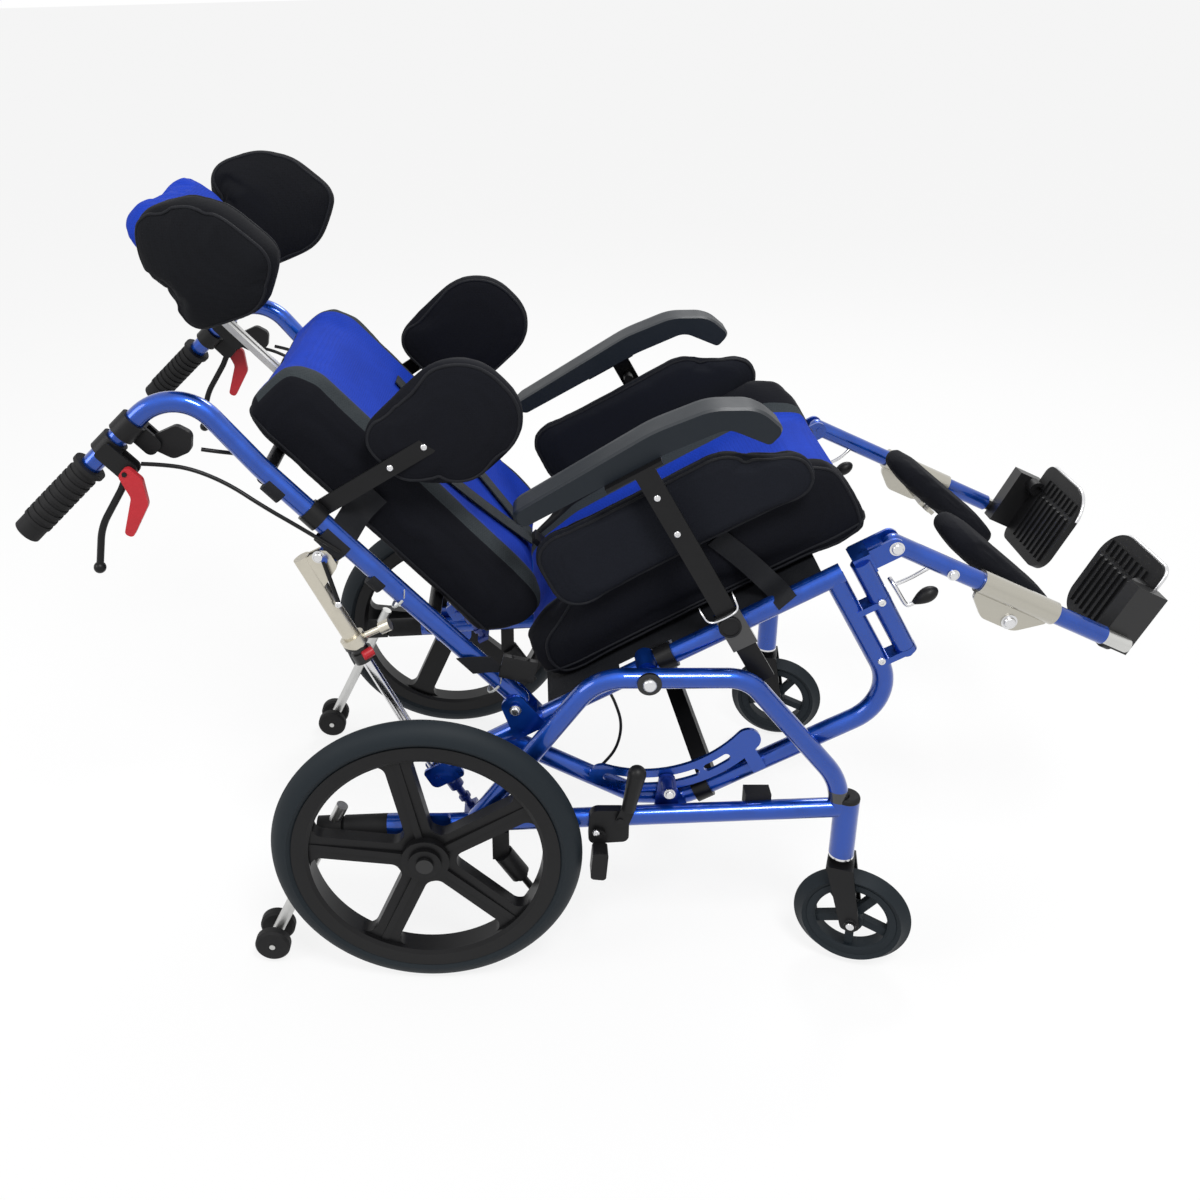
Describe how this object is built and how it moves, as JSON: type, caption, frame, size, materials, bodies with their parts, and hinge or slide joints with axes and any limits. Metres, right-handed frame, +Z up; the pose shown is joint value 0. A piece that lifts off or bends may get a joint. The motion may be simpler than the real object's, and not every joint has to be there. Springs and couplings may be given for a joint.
{
  "type": "tilt-in-space wheelchair",
  "caption": "Child's manual wheelchair with a padded seat that tilts in space on a folding tube base, with reclining back, headrest, trunk pads and elevating legrests.",
  "frame": {"origin": "on the floor under the middle of the bounding box", "axes": "+X forward, +Y to the rider's left, +Z up"},
  "size_m": [1.4034, 0.6546, 1.0298],
  "materials": {
    "frame_paint": "gloss",
    "black_rubber": "matte",
    "bright_steel": "satin",
    "black_plastic": "matte",
    "black_bar": "satin",
    "sling_cloth": "matte",
    "seat_cover": "matte",
    "back_cover": "matte",
    "wheel_grey": "satin",
    "tyre_grey": "matte",
    "caster_tyre": "matte",
    "champagne": "satin",
    "red_plastic": "gloss"
  },
  "bodies": {
    "base": {"base_frames": "frame_paint", "frame_sleeves": "black_rubber", "axle_and_pivot_bolts": "bright_steel", "tilt_locks_and_stops": "black_rubber", "brake_brackets": "black_plastic"},
    "seat": {"seat_frames": "frame_paint", "cross_brace": "black_bar", "seat_sling": "sling_cloth", "seat_cushion": "seat_cover"},
    "back": {"back_canes": "frame_paint", "back_cushion": "back_cover", "back_bars": "black_bar", "hand_grips": "black_rubber", "lever_clamps": "black_bar", "trunk_pads": "seat_cover", "cables": "black_bar"},
    "headrest_stem": {"headrest_stem": "bright_steel"},
    "headrest": {"headrest_pad": "seat_cover"},
    "rear_wheel_left": {"rear_wheel_left": "wheel_grey", "rear_tyre_left": "tyre_grey"},
    "caster_fork_left": {"caster_fork_left": "black_bar"},
    "caster_wheel_left": {"caster_wheel_left": "caster_tyre"},
    "anti_tip_left": {"anti_tip_tube_left": "bright_steel"},
    "anti_tip_wheels_left": {"anti_tip_wheels_left": "black_rubber"},
    "wheel_lock_left": {"wheel_lock_lever_left": "black_bar"},
    "wheel_lock_shoe_left": {"wheel_lock_shoe_left": "black_rubber"},
    "strut_tube_left": {"strut_tube_left": "champagne"},
    "strut_rod_left": {"strut_rod_left": "bright_steel"},
    "brake_lever_left": {"brake_lever_left": "black_bar"},
    "parking_latch_left": {"parking_latch_left": "red_plastic"},
    "release_lever_left": {"release_lever_left": "black_bar"},
    "armrest_left": {"armrest_post_left": "bright_steel", "armrest_pad_left": "black_rubber", "side_guard_left": "black_plastic"},
    "hanger_left": {"hanger_left": "frame_paint"},
    "legrest_left": {"legrest_left": "frame_paint"},
    "calf_pad_left": {"calf_pad_left": "seat_cover"},
    "foot_tube_left": {"foot_tube_left": "bright_steel"},
    "footplate_left": {"footplate_left": "black_plastic"},
    "rear_wheel_right": {"rear_wheel_right": "wheel_grey", "rear_tyre_right": "tyre_grey"},
    "caster_fork_right": {"caster_fork_right": "black_bar"},
    "caster_wheel_right": {"caster_wheel_right": "caster_tyre"},
    "anti_tip_right": {"anti_tip_tube_right": "bright_steel"},
    "anti_tip_wheels_right": {"anti_tip_wheels_right": "black_rubber"},
    "wheel_lock_right": {"wheel_lock_lever_right": "black_bar"},
    "wheel_lock_shoe_right": {"wheel_lock_shoe_right": "black_rubber"},
    "strut_tube_right": {"strut_tube_right": "champagne"},
    "strut_rod_right": {"strut_rod_right": "bright_steel"},
    "brake_lever_right": {"brake_lever_right": "black_bar"},
    "parking_latch_right": {"parking_latch_right": "red_plastic"},
    "release_lever_right": {"release_lever_right": "black_bar"},
    "armrest_right": {"armrest_post_right": "bright_steel", "armrest_pad_right": "black_rubber", "side_guard_right": "black_plastic"},
    "hanger_right": {"hanger_right": "frame_paint"},
    "legrest_right": {"legrest_right": "frame_paint"},
    "calf_pad_right": {"calf_pad_right": "seat_cover"},
    "foot_tube_right": {"foot_tube_right": "bright_steel"},
    "footplate_right": {"footplate_right": "black_plastic"}
  },
  "joints": [
    {"name": "tilt", "type": "hinge", "parent": "base", "child": "seat", "pos_m": [0.04974, 0, 0.4375], "axis": [0, 1, 0], "range_deg": [0, 29.3]},
    {"name": "recline", "type": "hinge", "parent": "seat", "child": "back", "pos_m": [-0.11464, 0, 0.37794], "axis": [0, -1, 0], "range_deg": [-2, 24]},
    {"name": "headrest_height", "type": "slide", "parent": "back", "child": "headrest_stem", "axis": [-0.6845, 0, 0.729], "range_m": [-0.03, 0.06]},
    {"name": "headrest_angle", "type": "hinge", "parent": "headrest_stem", "child": "headrest", "pos_m": [-0.53088, 0, 0.86501], "axis": [0, 1, 0], "range_deg": [-20, 12]},
    {"name": "rear_wheel_spin_left", "type": "hinge", "parent": "base", "child": "rear_wheel_left", "pos_m": [-0.23126, 0.299, 0.2005], "axis": [0, 1, 0], "continuous": true},
    {"name": "caster_swivel_left", "type": "hinge", "parent": "base", "child": "caster_fork_left", "pos_m": [0.30774, 0.262, 0.1685], "axis": [0, 0, 1], "continuous": true},
    {"name": "caster_spin_left", "type": "hinge", "parent": "caster_fork_left", "child": "caster_wheel_left", "pos_m": [0.32899, 0.25631, 0.075], "axis": [0.2588, 0.9659, 0], "continuous": true},
    {"name": "anti_tip_height_left", "type": "slide", "parent": "base", "child": "anti_tip_left", "axis": [0.4463, 0, 0.8949], "range_m": [-0.006, 0.04]},
    {"name": "anti_tip_spin_left", "type": "hinge", "parent": "anti_tip_left", "child": "anti_tip_wheels_left", "pos_m": [-0.44926, 0.262, 0.0295], "axis": [0, 1, 0], "continuous": true},
    {"name": "wheel_lock_left", "type": "hinge", "parent": "base", "child": "wheel_lock_left", "pos_m": [0.01674, 0.282, 0.24498], "axis": [0, 1, 0], "range_deg": [0, 36]},
    {"name": "wheel_lock_shoe_left", "type": "hinge", "parent": "base", "child": "wheel_lock_shoe_left", "pos_m": [-0.00926, 0.282, 0.22164], "axis": [0, 1, 0], "range_deg": [0, 9.1]},
    {"name": "strut_turn_left", "type": "hinge", "parent": "back", "child": "strut_tube_left", "pos_m": [-0.34293, 0.222, 0.58744], "axis": [0, -1, 0], "range_deg": [-2.95, 0.77]},
    {"name": "strut_slide_left", "type": "slide", "parent": "strut_tube_left", "child": "strut_rod_left", "axis": [0.4377, 0, -0.8991], "range_m": [-0.06106, 0.006]},
    {"name": "brake_lever_left", "type": "hinge", "parent": "back", "child": "brake_lever_left", "pos_m": [-0.55997, 0.24916, 0.71485], "axis": [0, 1, 0], "range_deg": [0, 14], "stiffness_Nm_per_rad": 1, "springref_deg": -17.19},
    {"name": "parking_latch_left", "type": "hinge", "parent": "back", "child": "parking_latch_left", "pos_m": [-0.55997, 0.24916, 0.71485], "axis": [0, 1, 0], "range_deg": [0, 18]},
    {"name": "release_lever_left", "type": "hinge", "parent": "back", "child": "release_lever_left", "pos_m": [-0.53655, 0.22079, 0.73666], "axis": [0, 1, 0], "range_deg": [0, 12], "stiffness_Nm_per_rad": 1, "springref_deg": -17.19},
    {"name": "armrest_lift_left", "type": "slide", "parent": "seat", "child": "armrest_left", "axis": [-0.4894, 0, 0.8721], "range_m": [0, 0.045]},
    {"name": "hanger_swing_left", "type": "hinge", "parent": "seat", "child": "hanger_left", "pos_m": [0.33222, 0.222, 0.52263], "axis": [-0.4894, 0, 0.8721], "range_deg": [0, 80]},
    {"name": "legrest_raise_left", "type": "hinge", "parent": "hanger_left", "child": "legrest_left", "pos_m": [0.34552, 0.205, 0.59087], "axis": [0, -1, 0], "range_deg": [-20, 50]},
    {"name": "calf_turn_left", "type": "hinge", "parent": "legrest_left", "child": "calf_pad_left", "pos_m": [0.50979, 0.112, 0.51252], "axis": [0.6494, 0, 0.7604], "range_deg": [-12, 12]},
    {"name": "foot_length_left", "type": "slide", "parent": "legrest_left", "child": "foot_tube_left", "axis": [0.9026, 0, -0.4305], "range_m": [0, 0.06]},
    {"name": "footplate_flip_left", "type": "hinge", "parent": "foot_tube_left", "child": "footplate_left", "pos_m": [0.67187, 0.175, 0.5039], "axis": [0, -1, 0], "range_deg": [-8, 70]},
    {"name": "rear_wheel_spin_right", "type": "hinge", "parent": "base", "child": "rear_wheel_right", "pos_m": [-0.23126, -0.299, 0.2005], "axis": [0, 1, 0], "continuous": true},
    {"name": "caster_swivel_right", "type": "hinge", "parent": "base", "child": "caster_fork_right", "pos_m": [0.30774, -0.262, 0.1685], "axis": [0, 0, 1], "continuous": true},
    {"name": "caster_spin_right", "type": "hinge", "parent": "caster_fork_right", "child": "caster_wheel_right", "pos_m": [0.32854, -0.26916, 0.075], "axis": [0.3256, 0.9455, 0], "continuous": true},
    {"name": "anti_tip_height_right", "type": "slide", "parent": "base", "child": "anti_tip_right", "axis": [0.4463, 0, 0.8949], "range_m": [-0.006, 0.04]},
    {"name": "anti_tip_spin_right", "type": "hinge", "parent": "anti_tip_right", "child": "anti_tip_wheels_right", "pos_m": [-0.44926, -0.262, 0.0295], "axis": [0, 1, 0], "continuous": true},
    {"name": "wheel_lock_right", "type": "hinge", "parent": "base", "child": "wheel_lock_right", "pos_m": [0.01674, -0.282, 0.24498], "axis": [0, 1, 0], "range_deg": [0, 36]},
    {"name": "wheel_lock_shoe_right", "type": "hinge", "parent": "base", "child": "wheel_lock_shoe_right", "pos_m": [-0.00926, -0.282, 0.22164], "axis": [0, 1, 0], "range_deg": [0, 9.1]},
    {"name": "strut_turn_right", "type": "hinge", "parent": "back", "child": "strut_tube_right", "pos_m": [-0.34293, -0.222, 0.58744], "axis": [0, -1, 0], "range_deg": [-2.95, 0.77]},
    {"name": "strut_slide_right", "type": "slide", "parent": "strut_tube_right", "child": "strut_rod_right", "axis": [0.4377, 0, -0.8991], "range_m": [-0.06106, 0.006]},
    {"name": "brake_lever_right", "type": "hinge", "parent": "back", "child": "brake_lever_right", "pos_m": [-0.55997, -0.24916, 0.71485], "axis": [0, 1, 0], "range_deg": [0, 14], "stiffness_Nm_per_rad": 1, "springref_deg": -17.19},
    {"name": "parking_latch_right", "type": "hinge", "parent": "back", "child": "parking_latch_right", "pos_m": [-0.55997, -0.24916, 0.71485], "axis": [0, 1, 0], "range_deg": [0, 18]},
    {"name": "release_lever_right", "type": "hinge", "parent": "back", "child": "release_lever_right", "pos_m": [-0.53655, -0.22079, 0.73666], "axis": [0, 1, 0], "range_deg": [0, 12], "stiffness_Nm_per_rad": 1, "springref_deg": -17.19},
    {"name": "armrest_lift_right", "type": "slide", "parent": "seat", "child": "armrest_right", "axis": [-0.4894, 0, 0.8721], "range_m": [0, 0.045]},
    {"name": "hanger_swing_right", "type": "hinge", "parent": "seat", "child": "hanger_right", "pos_m": [0.33222, -0.222, 0.52263], "axis": [0.4894, 0, -0.8721], "range_deg": [0, 80]},
    {"name": "legrest_raise_right", "type": "hinge", "parent": "hanger_right", "child": "legrest_right", "pos_m": [0.34552, -0.205, 0.59087], "axis": [0, -1, 0], "range_deg": [-20, 50]},
    {"name": "calf_turn_right", "type": "hinge", "parent": "legrest_right", "child": "calf_pad_right", "pos_m": [0.50979, -0.112, 0.51252], "axis": [0.6494, 0, 0.7604], "range_deg": [-12, 12]},
    {"name": "foot_length_right", "type": "slide", "parent": "legrest_right", "child": "foot_tube_right", "axis": [0.9026, 0, -0.4305], "range_m": [0, 0.06]},
    {"name": "footplate_flip_right", "type": "hinge", "parent": "foot_tube_right", "child": "footplate_right", "pos_m": [0.67187, -0.175, 0.5039], "axis": [0, -1, 0], "range_deg": [-8, 70]}
  ],
  "couplings": [
    {"joint": "wheel_lock_shoe_left", "follows": "wheel_lock_left", "ratio": 0.25},
    {"joint": "strut_turn_left", "follows": "recline", "ratio": -0.09922},
    {"joint": "strut_slide_left", "follows": "recline", "m_per_rad": -0.14337},
    {"joint": "wheel_lock_shoe_right", "follows": "wheel_lock_right", "ratio": 0.25},
    {"joint": "strut_turn_right", "follows": "recline", "ratio": -0.09922},
    {"joint": "strut_slide_right", "follows": "recline", "m_per_rad": -0.14337}
  ]
}
